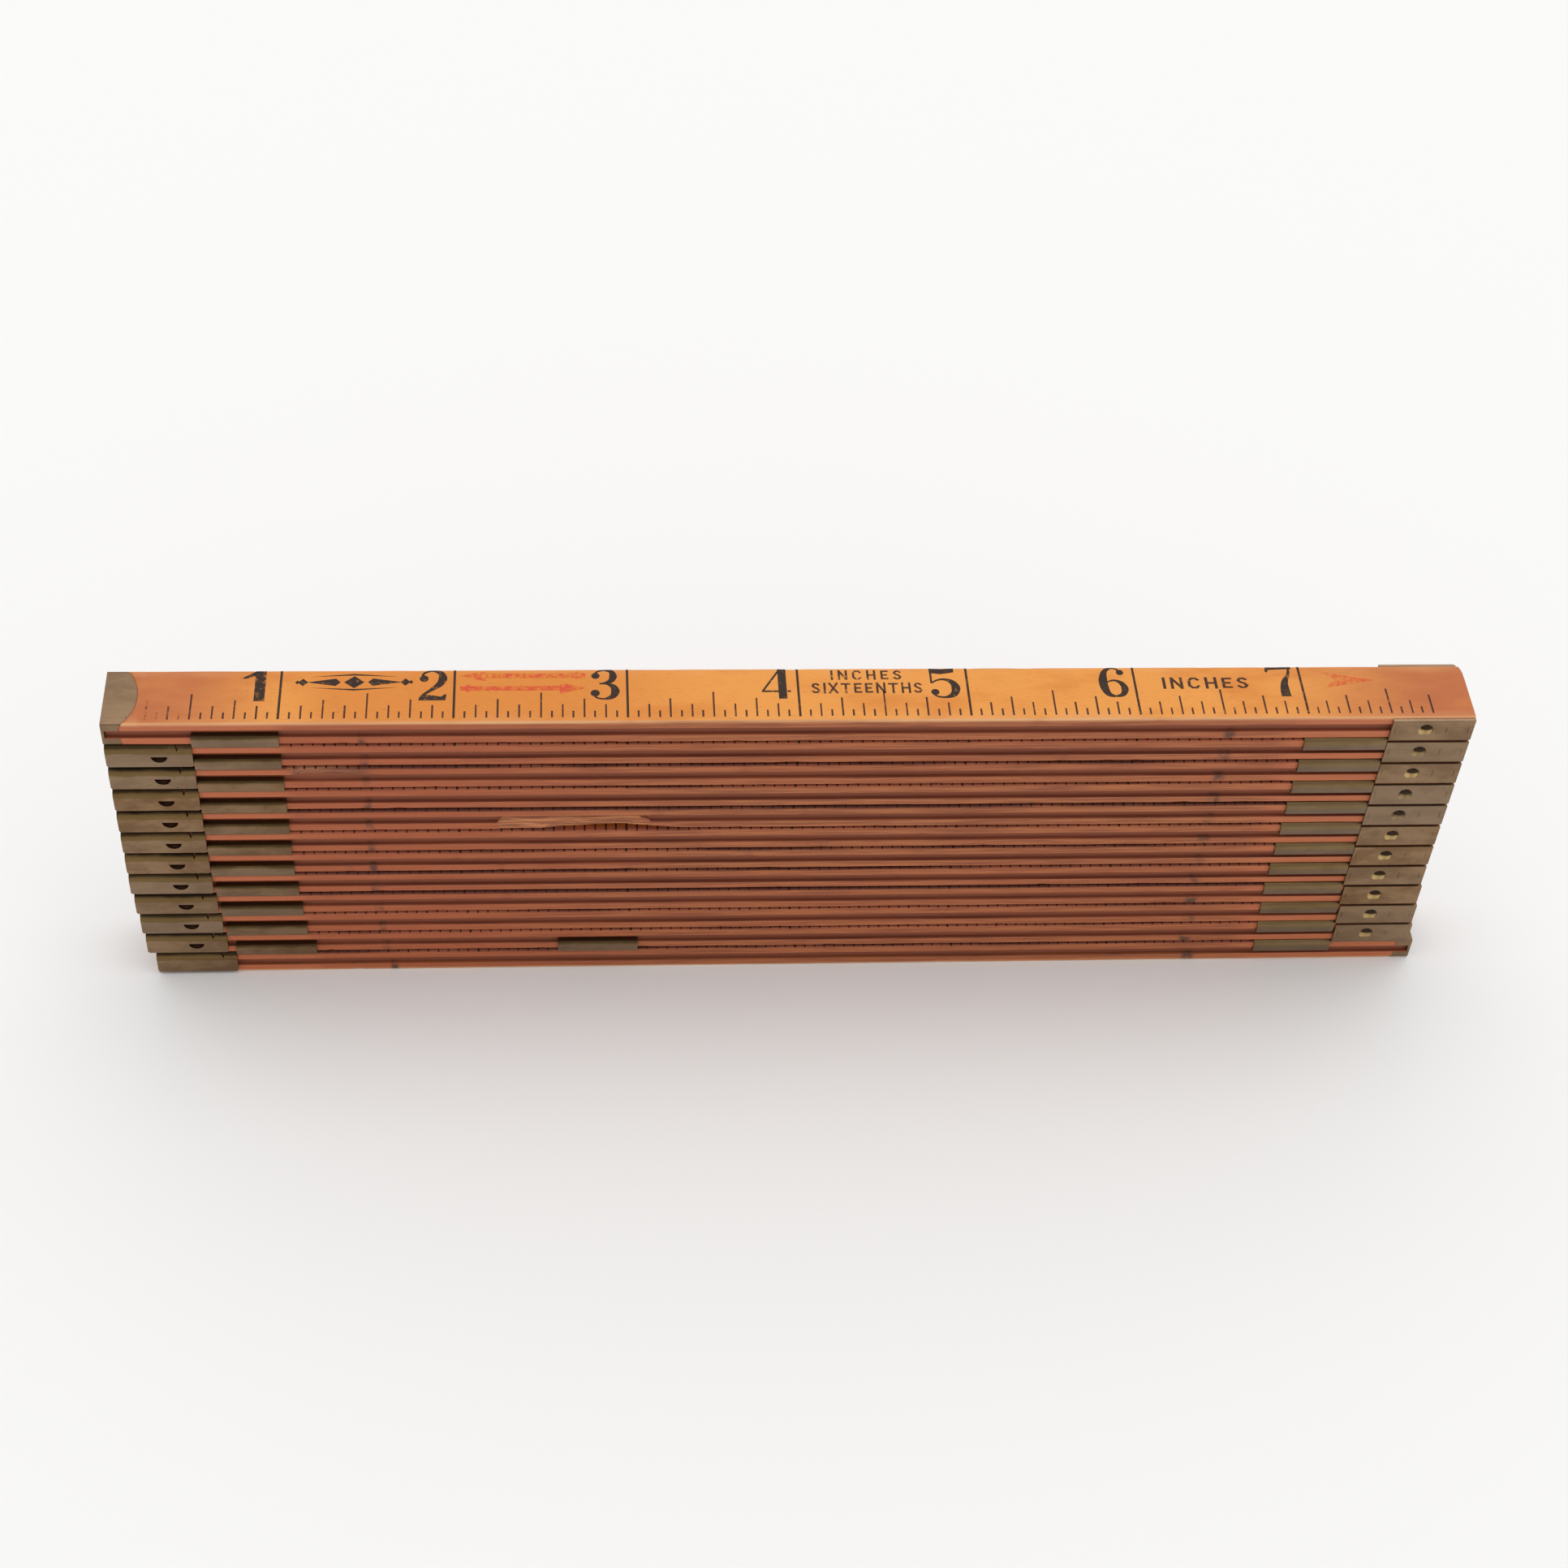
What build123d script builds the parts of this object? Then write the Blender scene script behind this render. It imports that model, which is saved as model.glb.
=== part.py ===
from build123d import *
import os

# A sliding extension rule, closed. Twelve grooved wooden slats lie on top of each other, and folded
# brass fittings at their ends run in the grooves, so each slat slides lengthwise over the one below.
#
# Frame: +X along the rule, +Y across it, +Z up, with the origin at the middle of the base.
# Slats are numbered from the top. A slat's own frame has its origin at the middle of its left end,
# on its underside, so a height there runs from 0 to SLAT_THICKNESS.

# Driving dimensions, in millimetres
INCH = 25.4
SLAT_COUNT = 12
SLAT_LENGTH = 8 * INCH
SLAT_WIDTH = 11.0
SLAT_THICKNESS = 4.35
SLAT_GAP = 0.45
SHEET = 0.4
RUNNING_GAP = 0.05
END_GAP = 0.05

# How far each slat that isn't quite closed lies to the right of the top slat
SLAT_DRIFT = {9: 0.3, 10: 0.6, 11: 0.9, 12: 2.0}

# Slat section
EDGE_ROUND = 0.4
LIP_HEIGHT = 1.5
GROOVE_DEPTH = 0.75
GROOVE_CORNER = 0.2
PITCH = SLAT_THICKNESS + SLAT_GAP
HALF_WIDTH = SLAT_WIDTH / 2
GROOVE_HEIGHT = SLAT_THICKNESS - 2 * LIP_HEIGHT
GROOVE_MIDDLE = SLAT_THICKNESS / 2

# Brass fittings: a cap that grips its own slat, and a guide that hooks onto the neighbour's lips
CAP_LENGTH = INCH / 2
FITTING_LENGTH = 2 * CAP_LENGTH
GUIDE_LENGTH = FITTING_LENGTH - CAP_LENGTH
INNER_HALF = HALF_WIDTH + RUNNING_GAP
OUTER_HALF = INNER_HALF + SHEET
PLATE_HALF = 4.6
HOOK_REACH = 0.6
HOOK_HALF = HALF_WIDTH - HOOK_REACH
GUIDE_HEIGHT = SLAT_GAP + LIP_HEIGHT + RUNNING_GAP + SHEET
HOOK_ROUND = 0.35
SHARP_BEND = 0.1
CLOSE_BEND = 0.5
WIDE_BEND = 0.85
OVERLAP = 1.0

# Left caps: folded down over the slat, with a lanced tongue and a locating nick on each side
LEFT_CAP_FOOT = 0.6
CAP_CORNER = 0.4
TONGUE_X = 7.8
TONGUE_RADIUS = 1.2
TONGUE_DROP = 1.65
TONGUE_SHEET = 0.28
TONGUE_SHARE = 0.94
TONGUE_ROOT = 0.08
TONGUE_TILT = 35
NICK_X = 10.5
NICK_WIDTH = 0.7
NICK_DROP = 1.0

# Right caps: folded up over the slat, with a conical dimple on each side
RIGHT_CAP_DROP = 0.2
DIMPLE_FROM_END = 7.4
DIMPLE_RADIUS = 1.1
DIMPLE_FLOOR = 0.2
DIMPLE_DEPTH = 0.7
DIMPLE_BUMP_RADIUS = 0.68
DIMPLE_BUMP_TIP = 0.38
DIMPLE_BUMP_DEPTH = 0.45

# Tips: brass end plates with round flanges let flush into the faces
TIP_LENGTH = 4.85
TIP_SHOULDER = 2.85
TIP_EAR_LENGTH = 2.6
TIP_EAR_HEIGHT = 1.35

# Travel stop on the bottom slat
STOP_X = 2.5 * INCH
STOP_LENGTH = CAP_LENGTH
PIN_RADIUS = 0.5
PIN_GAP = 0.02
PIN_LENGTH = 3.0
PIN_SPACING = 6.0


def block(half_width, low, high, low_round=0.0, high_round=0.0):
    """A section centred across the rule between two heights, with its corners rounded."""
    section = Pos(0, (low + high) / 2) * Rectangle(2 * half_width, high - low)
    if low_round:
        section = fillet(section.vertices().group_by(Axis.Y)[0], low_round)
    if high_round:
        section = fillet(section.vertices().group_by(Axis.Y)[-1], high_round)
    return section


def along(section, start, end):
    """The section, drawn across the rule, run from one place along it to another."""
    return Pos(start, 0, 0) * extrude(Plane.YZ * section, amount=end - start)


def facing_side(shape, x, z):
    """A shape turned to face the rule's side, with its origin at x and z."""
    return Pos(x, 0, z) * (Plane.XZ * shape)


def slat_section(top_round):
    section = block(HALF_WIDTH, 0, SLAT_THICKNESS, EDGE_ROUND, top_round)
    for side in (-1, 1):
        groove = Rectangle(2 * GROOVE_DEPTH, GROOVE_HEIGHT)
        groove = fillet(groove.vertices(), GROOVE_CORNER)
        section -= Pos(side * HALF_WIDTH, GROOVE_MIDDLE) * groove
    # The groove's mouth is square, so its rounded outer corners are opened up again.
    for side in (-1, 1):
        mouth = Rectangle(2 * GROOVE_CORNER, GROOVE_HEIGHT)
        section -= Pos(side * HALF_WIDTH, GROOVE_MIDDLE) * mouth
    return section


def tip_solid():
    """The brass tip of a slat's left end: end plate, two round flanges and four small ears."""
    outline = along(block(HALF_WIDTH, 0, SLAT_THICKNESS, EDGE_ROUND, EDGE_ROUND), 0, TIP_LENGTH)
    rise = TIP_LENGTH - TIP_SHOULDER
    radius = (HALF_WIDTH**2 + rise**2) / (2 * rise)
    disc = Pos(TIP_LENGTH - radius, 0, 0) * Circle(radius)
    shell = Pos(SHEET / 2, 0, SLAT_THICKNESS / 2) * Box(SHEET, SLAT_WIDTH, SLAT_THICKNESS)
    for low in (0, SLAT_THICKNESS - SHEET):
        shell += Pos(0, 0, low) * extrude(disc, amount=SHEET)
    ear = Box(TIP_EAR_LENGTH, SHEET, TIP_EAR_HEIGHT)
    for side in (-1, 1):
        for height in (TIP_EAR_HEIGHT / 2, SLAT_THICKNESS - TIP_EAR_HEIGHT / 2):
            shell += Pos(TIP_EAR_LENGTH / 2, side * (HALF_WIDTH - SHEET / 2), height) * ear
    return outline & shell


def slat_solid(number):
    """A slat with what is cut from it for its tip, its left cap and its travel stop."""
    slat = along(slat_section(EDGE_ROUND), 0, SLAT_LENGTH)
    if number == 1:
        return slat - tip_solid()
    worn_corner = along(slat_section(WIDE_BEND), 0, CAP_LENGTH)
    slat = along(slat_section(EDGE_ROUND), CAP_LENGTH, SLAT_LENGTH) + worn_corner
    if number == SLAT_COUNT:
        slat -= far_end(tip_solid())
        for pin in pin_places():
            slat -= pin * Cylinder(PIN_RADIUS + PIN_GAP, 2 * PIN_LENGTH)
        return slat
    return slat


def far_end(solid):
    """The same piece turned end for end, at the slat's right end."""
    return Pos(SLAT_LENGTH, 0, 0) * Rot(0, 0, 180) * solid


def pin_places():
    """Where the travel stop's two pins go in, on top of the bottom slat."""
    middle = STOP_X + STOP_LENGTH / 2
    return [Pos(middle + side * PIN_SPACING / 2, 0, SLAT_THICKNESS) for side in (-1, 1)]


def upper_guide():
    """Section of a guide on top of a slat, hooked over the lower lips of the slat above."""
    floor = SLAT_THICKNESS
    rim = floor + GUIDE_HEIGHT
    section = block(OUTER_HALF, floor, rim, CLOSE_BEND, HOOK_ROUND)
    section -= block(INNER_HALF, floor + SHEET, rim - SHEET, SHARP_BEND)
    return section - block(HOOK_HALF, floor + SHEET, rim + OVERLAP)


def lower_guide():
    """Section of a guide under a slat, hooked under the upper lips of the slat below."""
    section = block(OUTER_HALF, -GUIDE_HEIGHT, 0, HOOK_ROUND, CLOSE_BEND + SHEET)
    section -= block(INNER_HALF, SHEET - GUIDE_HEIGHT, -SHEET, 0, CLOSE_BEND)
    return section - block(HOOK_HALF, -GUIDE_HEIGHT - OVERLAP, -SHEET)


def left_fitting(with_tongues):
    """Plate on top of a slat at its left end, its cap folded down and its guide folded up."""
    top = SLAT_THICKNESS + SHEET
    cap_section = block(OUTER_HALF, LEFT_CAP_FOOT, top, 0, WIDE_BEND + SHEET)
    cap_section -= block(INNER_HALF, -OVERLAP, SLAT_THICKNESS, 0, WIDE_BEND)
    cap = along(cap_section, END_GAP, CAP_LENGTH - END_GAP)
    feet = cap.edges().filter_by(Axis.Y).group_by(Axis.Z)[0]
    cap = fillet(feet, CAP_CORNER)
    notch = Polygon((-NICK_WIDTH / 2, 0), (NICK_WIDTH / 2, 0), (0, -NICK_DROP), align=None)
    nick = facing_side(extrude(notch, amount=OVERLAP / 2, both=True), NICK_X, top)
    for side in (-1, 1):
        cap -= Pos(0, side * (OUTER_HALF - OVERLAP / 2), 0) * nick
    if with_tongues:
        for side in (-1, 1):
            cap = lance(cap, side)
    plate = along(block(PLATE_HALF, SLAT_THICKNESS, top), END_GAP, FITTING_LENGTH - END_GAP)
    guide = along(upper_guide(), CAP_LENGTH + END_GAP, FITTING_LENGTH - END_GAP)
    return cap + plate + guide


def lance(cap, side):
    """Punches one half-round tongue out of a cap's side and bends it in under its straight edge."""
    height = SLAT_THICKNESS - TONGUE_DROP
    window = Circle(TONGUE_RADIUS) & Pos(0, -TONGUE_RADIUS) * Rectangle(
        2 * TONGUE_RADIUS, 2 * TONGUE_RADIUS
    )
    middle = side * (INNER_HALF + SHEET / 2)
    cap -= Pos(0, middle, 0) * facing_side(extrude(window, amount=SHEET, both=True), TONGUE_X, height)
    root = Rectangle(1.8 * TONGUE_RADIUS, TONGUE_ROOT)
    shape = scale(window, by=TONGUE_SHARE) + Pos(0, TONGUE_ROOT / 2 - TONGUE_ROOT / 8) * root
    flap = Plane.XZ * extrude(shape, amount=TONGUE_SHEET / 2, both=True)
    flap = Rot(side * -TONGUE_TILT, 0, 0) * flap
    return cap + Pos(TONGUE_X, middle, height) * flap


def right_fitting():
    """Plate under a slat at its right end, its cap folded up and its guide folded down."""
    start = SLAT_LENGTH - FITTING_LENGTH
    cap_start = start + GUIDE_LENGTH
    cap_section = block(OUTER_HALF, -SHEET, SLAT_THICKNESS - RIGHT_CAP_DROP, CLOSE_BEND)
    cap_section -= block(INNER_HALF, 0, SLAT_THICKNESS + OVERLAP, SHARP_BEND)
    cap = along(cap_section, cap_start + END_GAP, SLAT_LENGTH - END_GAP)
    for side in (-1, 1):
        cap = dimple(cap, side)
    plate = along(block(PLATE_HALF, -SHEET, 0), start + END_GAP, SLAT_LENGTH - END_GAP)
    guide = along(lower_guide(), start + END_GAP, cap_start - END_GAP)
    return cap + plate + guide


def dimple(cap, side):
    """Presses one conical dimple through a cap's side into the slat's groove."""
    place = Pos(SLAT_LENGTH - DIMPLE_FROM_END, 0, GROOVE_MIDDLE) * Rot(side * 90, 0, 0)
    bump_base = INNER_HALF
    bump = Cone(DIMPLE_BUMP_TIP, DIMPLE_BUMP_RADIUS, DIMPLE_BUMP_DEPTH)
    hollow = Cone(DIMPLE_FLOOR, DIMPLE_RADIUS, DIMPLE_DEPTH)
    cap += place * Pos(0, 0, -(bump_base - DIMPLE_BUMP_DEPTH / 2)) * Rot(180, 0, 0) * bump
    return cap - place * Pos(0, 0, -(OUTER_HALF - DIMPLE_DEPTH / 2)) * Rot(180, 0, 0) * hollow


def travel_stop():
    """A guide on its own, pinned on the bottom slat, where it stops the slat above early."""
    stop = along(upper_guide(), STOP_X, STOP_X + STOP_LENGTH)
    for pin in pin_places():
        stop -= pin * Cylinder(PIN_RADIUS + PIN_GAP, 2 * PIN_LENGTH)
    return stop


def stop_pins():
    middle = SHEET / 2 - PIN_LENGTH / 2 + SHEET / 2
    return [pin * Pos(0, 0, middle) * Cylinder(PIN_RADIUS, PIN_LENGTH) for pin in pin_places()]


def in_place(solid, number):
    """Moves a piece from its slat's own frame to the closed rule."""
    middle = (SLAT_LENGTH + SLAT_DRIFT[SLAT_COUNT]) / 2
    drift = SLAT_DRIFT.get(number, 0.0)
    return Pos(drift - middle, 0, (SLAT_COUNT - number) * PITCH) * solid


def write(name, solids):
    shape = solids[0] if len(solids) == 1 else Compound(children=solids)
    shape.label = name
    export_step(shape, f"parts/{name}.step")


def main():
    os.makedirs("parts", exist_ok=True)
    for number in range(1, SLAT_COUNT + 1):
        write(f"slat_{number:02d}", [in_place(slat_solid(number), number)])
        if number > 1:
            fitting = left_fitting(with_tongues=number < SLAT_COUNT)
            write(f"left_fitting_{number:02d}", [in_place(fitting, number)])
        if number < SLAT_COUNT:
            write(f"right_fitting_{number:02d}", [in_place(right_fitting(), number)])
    write("left_tip", [in_place(tip_solid(), 1)])
    write("right_tip", [in_place(far_end(tip_solid()), SLAT_COUNT)])
    write("travel_stop", [in_place(travel_stop(), SLAT_COUNT)])
    write("stop_pins", [in_place(pin, SLAT_COUNT) for pin in stop_pins()])


main()
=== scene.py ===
import math
import random

import bmesh
import bpy
import numpy as np
from mathutils import Matrix, Vector, noise
from mathutils.geometry import delaunay_2d_cdt


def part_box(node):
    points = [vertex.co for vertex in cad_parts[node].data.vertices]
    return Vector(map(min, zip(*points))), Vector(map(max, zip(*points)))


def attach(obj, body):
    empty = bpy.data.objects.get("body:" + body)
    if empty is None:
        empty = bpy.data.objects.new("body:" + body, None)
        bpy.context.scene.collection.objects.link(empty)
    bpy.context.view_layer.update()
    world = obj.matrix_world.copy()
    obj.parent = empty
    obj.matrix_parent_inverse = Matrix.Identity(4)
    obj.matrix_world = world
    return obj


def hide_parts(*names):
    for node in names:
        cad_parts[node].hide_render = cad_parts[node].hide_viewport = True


# A sliding extension rule: twelve printed and varnished slats with tarnished brass fittings.
# Lengths in this script are millimetres in a slat's own frame, as in the CAD part: x along the slat
# from its left end, y across it from its middle (the front side is -y), z up from its underside.

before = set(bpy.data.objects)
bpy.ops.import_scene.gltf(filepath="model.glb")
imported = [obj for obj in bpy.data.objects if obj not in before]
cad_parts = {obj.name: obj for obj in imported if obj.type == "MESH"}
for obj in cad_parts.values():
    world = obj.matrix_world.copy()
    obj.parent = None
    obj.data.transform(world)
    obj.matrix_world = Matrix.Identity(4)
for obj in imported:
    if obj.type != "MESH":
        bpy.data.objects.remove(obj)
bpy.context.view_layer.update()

MM = 0.001
INCH = 25.4
COUNT = 12


def slat_box(number):
    low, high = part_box(f"slat_{number:02d}")
    return low / MM, high / MM


# The slat's sizes, read from the second slat, which is whole from end to end
box_low, box_high = slat_box(2)
LENGTH = box_high.x - box_low.x
HALF = (box_high.y - box_low.y) / 2
TOP = box_high.z - box_low.z

# Sizes inside the slat's section, as in the CAD part
LIP = 1.5
GROOVE_DEPTH = 0.75
GROOVE_CORNER = 0.2
CAP_LENGTH = INCH / 2
CAP_RADIUS = 0.85

# Softened edges. The top corners stay wide enough to clear the inner bend of the guides.
CORNER = 0.34
CORNER_CHANGE = 0.1
TIGHTEST_TOP = 0.34
TIGHTEST_UNDER = 0.18
WIDEST_CORNER = 0.62
LIP_EDGE = 0.18
END_EDGE = 0.12
TIP_SEAM = 0.07
WORN_CORNER_X = 1.3
WORN_CORNER_Y = 3.4
SMOOTH_ANGLE = 34

# How open and dirty the gap above each slat looks, and how dark its painted shade is, from 0 to 1
GAP_WEAR_AND_SHADE = {2: 0.1, 3: 0.8, 4: 0.25, 5: 1.0, 6: 0.2, 7: 0.5, 8: 0.7, 9: 1.0, 10: 0.25, 11: 0.35, 12: 0.6}

# Old damage, by slat, all on the front side
CHIPPED_SLAT = 3
CHIP = (25.7, 39.8)
SPLIT_SLAT = 5
SPLIT = (56.8, 78.9)
SPLIT_GAP = (61.5, 86.0)
SPLIT_PEAK = 74.0


def slat_origin(number):
    """A slat's own origin in the rule's frame: the middle of its left end, on its underside."""
    low, high = slat_box(number)
    left = high.x - LENGTH if number == 1 else low.x
    return Vector((left, 0.0, low.z))


ORIGINS = {number: slat_origin(number) for number in range(1, COUNT + 1)}


def body(number):
    return f"section_{number:02d}"


def smooth(low, high, value):
    """0 below low, 1 above high, and a smooth rise between them."""
    part = np.clip((value - low) / (high - low), 0.0, 1.0)
    return part * part * (3 - 2 * part)


def wobble(x, number, lane, wavelength):
    """Smooth noise from about -1 to 1 along a slat; each lane is a different run of it."""
    return noise.noise(Vector((x / wavelength, 7.31 * number, 3.17 * lane)))


# ---- Node materials ----


def srgb(red, green, blue):
    """A colour as it looks on a screen, each part from 0 to 255, in linear light."""

    def linear(value):
        value /= 255
        return value / 12.92 if value <= 0.04045 else ((value + 0.055) / 1.055) ** 2.4

    return (linear(red), linear(green), linear(blue), 1.0)


class Nodes:
    """Short calls that add nodes to a tree. A value is a number, a tuple or a node's output."""

    def __init__(self, tree):
        self.tree = tree

    def add(self, kind, inputs, output=0, **settings):
        made = self.tree.nodes.new("ShaderNode" + kind)
        for name, value in settings.items():
            setattr(made, name, value)
        for socket, value in inputs.items():
            if isinstance(value, bpy.types.NodeSocket):
                self.tree.links.new(value, made.inputs[socket])
            else:
                made.inputs[socket].default_value = value
        return made.outputs[output] if len(made.outputs) else None

    def math(self, operation, *values):
        return self.add("Math", dict(enumerate(values)), operation=operation)

    def times(self, first, *others):
        for other in others:
            first = self.math("MULTIPLY", first, other)
        return first

    def minus(self, first, second):
        return self.math("SUBTRACT", first, second)

    def mix(self, factor, low, high):
        """The colour low where the factor is 0, high where it is 1."""
        return self.add("Mix", {0: factor, 6: low, 7: high}, output=2, data_type="RGBA")

    def over(self, colour, layer, *masks):
        """The colour with a layer over it where all the masks are 1."""
        return self.mix(self.times(*masks), colour, layer)

    def rise(self, value, low, high, start=0.0, end=1.0):
        inputs = {0: value, 1: low, 2: high, 3: start, 4: end}
        return self.add("MapRange", inputs, interpolation_type="SMOOTHSTEP")

    def attribute(self, name, output="Fac"):
        return self.add("Attribute", {}, output=output, attribute_name=name)

    def parts(self, vector):
        return tuple(self.add("SeparateXYZ", {0: vector}).node.outputs)

    def place(self):
        """Local coordinates in millimetres, shifted by the piece's seed so that no two match."""
        seed = self.attribute("seed")
        shift = self.add("VectorMath", {0: (211.0, 37.0, 53.0), 3: seed}, operation="SCALE")
        local = self.attribute("local", "Vector")
        return self.add("VectorMath", {0: local, 1: shift}, operation="ADD")

    def noise(self, place, waves, detail=3.0, roughness=0.55):
        """Noise from 0 to 1 with that many waves per millimetre along x, y and z."""
        scaled = self.add("VectorMath", {0: place, 1: waves}, operation="MULTIPLY")
        inputs = {"Vector": scaled, "Scale": 1.0, "Detail": detail, "Roughness": roughness}
        return self.add("TexNoise", inputs, output="Fac")

    def near(self, value, centre, half_width, soft):
        """1 within half_width of centre, falling to 0 over soft."""
        away = self.math("ABSOLUTE", self.minus(value, centre))
        return self.rise(away, half_width, half_width + soft, 1.0, 0.0)

    def round_spot(self, x, z, centre_x, centre_z, radius):
        """1 inside a circle on a slat's side, with a soft edge."""
        away_x = self.math("POWER", self.minus(x, centre_x), 2.0)
        away_z = self.math("POWER", self.minus(z, centre_z), 2.0)
        away = self.math("SQRT", self.math("ADD", away_x, away_z))
        return self.rise(away, radius - 0.1, radius + 0.1, 1.0, 0.0)

    def bumped(self, height, distance, strength):
        return self.add("Bump", {"Height": height, "Distance": distance, "Strength": strength})


def new_material(name):
    material = bpy.data.materials.new(name)
    material.use_nodes = True
    material.node_tree.nodes.clear()
    return material, Nodes(material.node_tree)


def finish_material(nodes, colour, roughness, normal, metallic=0.0, specular=0.35):
    inputs = {
        "Base Color": colour,
        "Roughness": roughness,
        "Normal": normal,
        "Metallic": metallic,
        "Specular IOR Level": specular,
    }
    shader = nodes.add("BsdfPrincipled", inputs)
    nodes.add("OutputMaterial", {"Surface": shader})


AMBER = srgb(229, 150, 63)
AMBER_DEEP = srgb(212, 125, 38)
AMBER_END = srgb(176, 91, 50)
AMBER_STAIN = srgb(150, 84, 44)
SIDE = srgb(184, 110, 64)
SIDE_DARK = srgb(139, 76, 46)
GROOVE_COLOUR = srgb(150, 84, 58)
WORN_AND_HIGHLIGHT = srgb(232, 176, 124)
RAW = srgb(206, 134, 84)
DIRT = srgb(58, 44, 38)
UNDER_CAP_SHADE = srgb(56, 36, 26)
GAP_GRIME_AND_SHADE = srgb(172, 96, 66)
DEEP_GRIME_AND_SHADE = srgb(96, 46, 32)
SILT_AND_SHADE = srgb(124, 62, 38)
SIDE_FRESH = srgb(202, 112, 70)
SIDE_RED = srgb(176, 88, 50)

SMUDGES = ((166.2, 1.1), (37.4, 0.7))


def wood_colour(nodes):
    """Colour of the varnished wood at any point of a slat, and the fine grain it follows."""
    place = nodes.place()
    x, y, z = nodes.parts(nodes.attribute("local", "Vector"))
    grain = nodes.noise(place, (0.09, 3.2, 3.2), 4.0, 0.6)
    blotch = nodes.noise(place, (0.07, 0.16, 0.16), 3.0)
    streak = nodes.noise(place, (0.035, 1.3, 1.3), 3.0)
    fleck = nodes.noise(place, (0.9, 5.5, 5.5), 2.0)
    speck = nodes.noise(place, (2.2, 3.0, 3.0), 2.0)

    # The printed wide faces: amber varnish, deeper in clouds, redder where hands rub the ends
    deep = nodes.times(nodes.rise(x, 24.0, 34.0), nodes.rise(x, 68.0, 92.0, 0.8, 0.0))
    clouds = nodes.math("MAXIMUM", nodes.rise(blotch, 0.42, 0.7, 0.0, 0.8), deep)
    face = nodes.mix(clouds, AMBER, AMBER_DEEP)
    left_end = nodes.rise(x, 6.0, 30.0, 0.85, 0.0)
    ends = nodes.math("MAXIMUM", left_end, nodes.rise(x, 168.0, 200.0, 0.0, 0.85))
    cloudy_ends = nodes.times(ends, nodes.rise(blotch, 0.2, 0.6, 0.7, 1.0))
    face = nodes.mix(cloudy_ends, face, AMBER_END)
    flecks = nodes.times(nodes.rise(fleck, 0.56, 0.76), 0.28)
    face = nodes.mix(flecks, face, AMBER_STAIN)
    specks = nodes.times(nodes.rise(speck, 0.68, 0.78), 0.45)
    face = nodes.mix(specks, face, DIRT)

    # The narrow sides: darker and redder, streaked along the grain
    side = nodes.mix(nodes.rise(grain, 0.36, 0.68), SIDE, SIDE_DARK)
    side = nodes.mix(nodes.rise(streak, 0.5, 0.75, 0.0, 0.5), side, SIDE_DARK)
    reddened = nodes.times(nodes.attribute("tone"), 0.35)
    reddened = nodes.math("MAXIMUM", nodes.rise(x, 40.0, 100.0, 0.7, 0.0), reddened)
    side = nodes.mix(reddened, side, SIDE_RED)
    sheltered = nodes.rise(x, 24.0, 27.0, 0.6, 0.0)
    sheltered = nodes.math("MAXIMUM", sheltered, nodes.rise(x, 172.0, 178.0, 0.0, 0.6))
    side = nodes.mix(sheltered, side, SIDE_FRESH)
    side = nodes.mix(nodes.attribute("groove"), side, GROOVE_COLOUR)
    inset = nodes.minus(HALF, nodes.math("ABSOLUTE", y))
    filled = nodes.noise(place, (0.05, 0.5, 0.5), 3.0)
    floor = nodes.times(nodes.rise(inset, 0.03, 0.12), nodes.near(z, LIP, 0.03, 0.25))
    # Silt and painted shade on the groove's floor, darkest towards the lower lip's outer edge
    silt_and_shade = nodes.times(floor, nodes.rise(inset, 0.1, 0.7, 0.92, 0.3))
    side = nodes.mix(silt_and_shade, side, nodes.mix(nodes.rise(filled, 0.35, 0.65), SILT_AND_SHADE, DEEP_GRIME_AND_SHADE))
    # Dirt and painted shade in the gaps between slats, darker where the gap is more open and dirty
    packed_grime_and_shade = nodes.math("ADD", filled, nodes.times(nodes.attribute("gap_wear_and_shade"), 0.35))
    grime_and_shade = nodes.mix(nodes.rise(packed_grime_and_shade, 0.5, 0.85), GAP_GRIME_AND_SHADE, DEEP_GRIME_AND_SHADE)
    face = nodes.mix(nodes.attribute("grime_and_shade"), face, grime_and_shade)
    colour = nodes.mix(nodes.attribute("side"), face, side)

    # Wear: varnish rubbed off the corners, with a painted highlight along them, raw wood where it broke, and
    # dirt
    rubbed_and_lit = nodes.times(nodes.attribute("worn"), nodes.rise(streak, 0.3, 0.6, 0.45, 1.0))
    colour = nodes.mix(rubbed_and_lit, colour, WORN_AND_HIGHLIGHT)
    torn = nodes.mix(nodes.rise(grain, 0.35, 0.6), RAW, SIDE_DARK)
    colour = nodes.mix(nodes.attribute("raw"), colour, torn)
    patch = nodes.noise(place, (0.45, 0.35, 0.6), 2.0)
    on_lip = nodes.times(nodes.attribute("side"), nodes.near(z, LIP / 2, LIP / 3, LIP / 2))
    dirty = nodes.times(on_lip, nodes.rise(patch, 0.4, 0.62, 0.15, 0.8))
    for centre, half_width in SMUDGES:
        column = nodes.near(x, centre, half_width * 0.3, half_width)
        smudge = nodes.times(column, dirty)
        colour = nodes.mix(smudge, colour, DIRT)

    # Painted shade behind the left caps, where their holes and notches let it show
    covered = nodes.rise(x, CAP_LENGTH - 0.6, CAP_LENGTH - 0.3, 0.75, 0.0)
    covered = nodes.times(covered, nodes.attribute("shadowed"), nodes.attribute("side"))
    colour = nodes.mix(covered, colour, UNDER_CAP_SHADE)
    return colour, grain, streak, fleck


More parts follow.
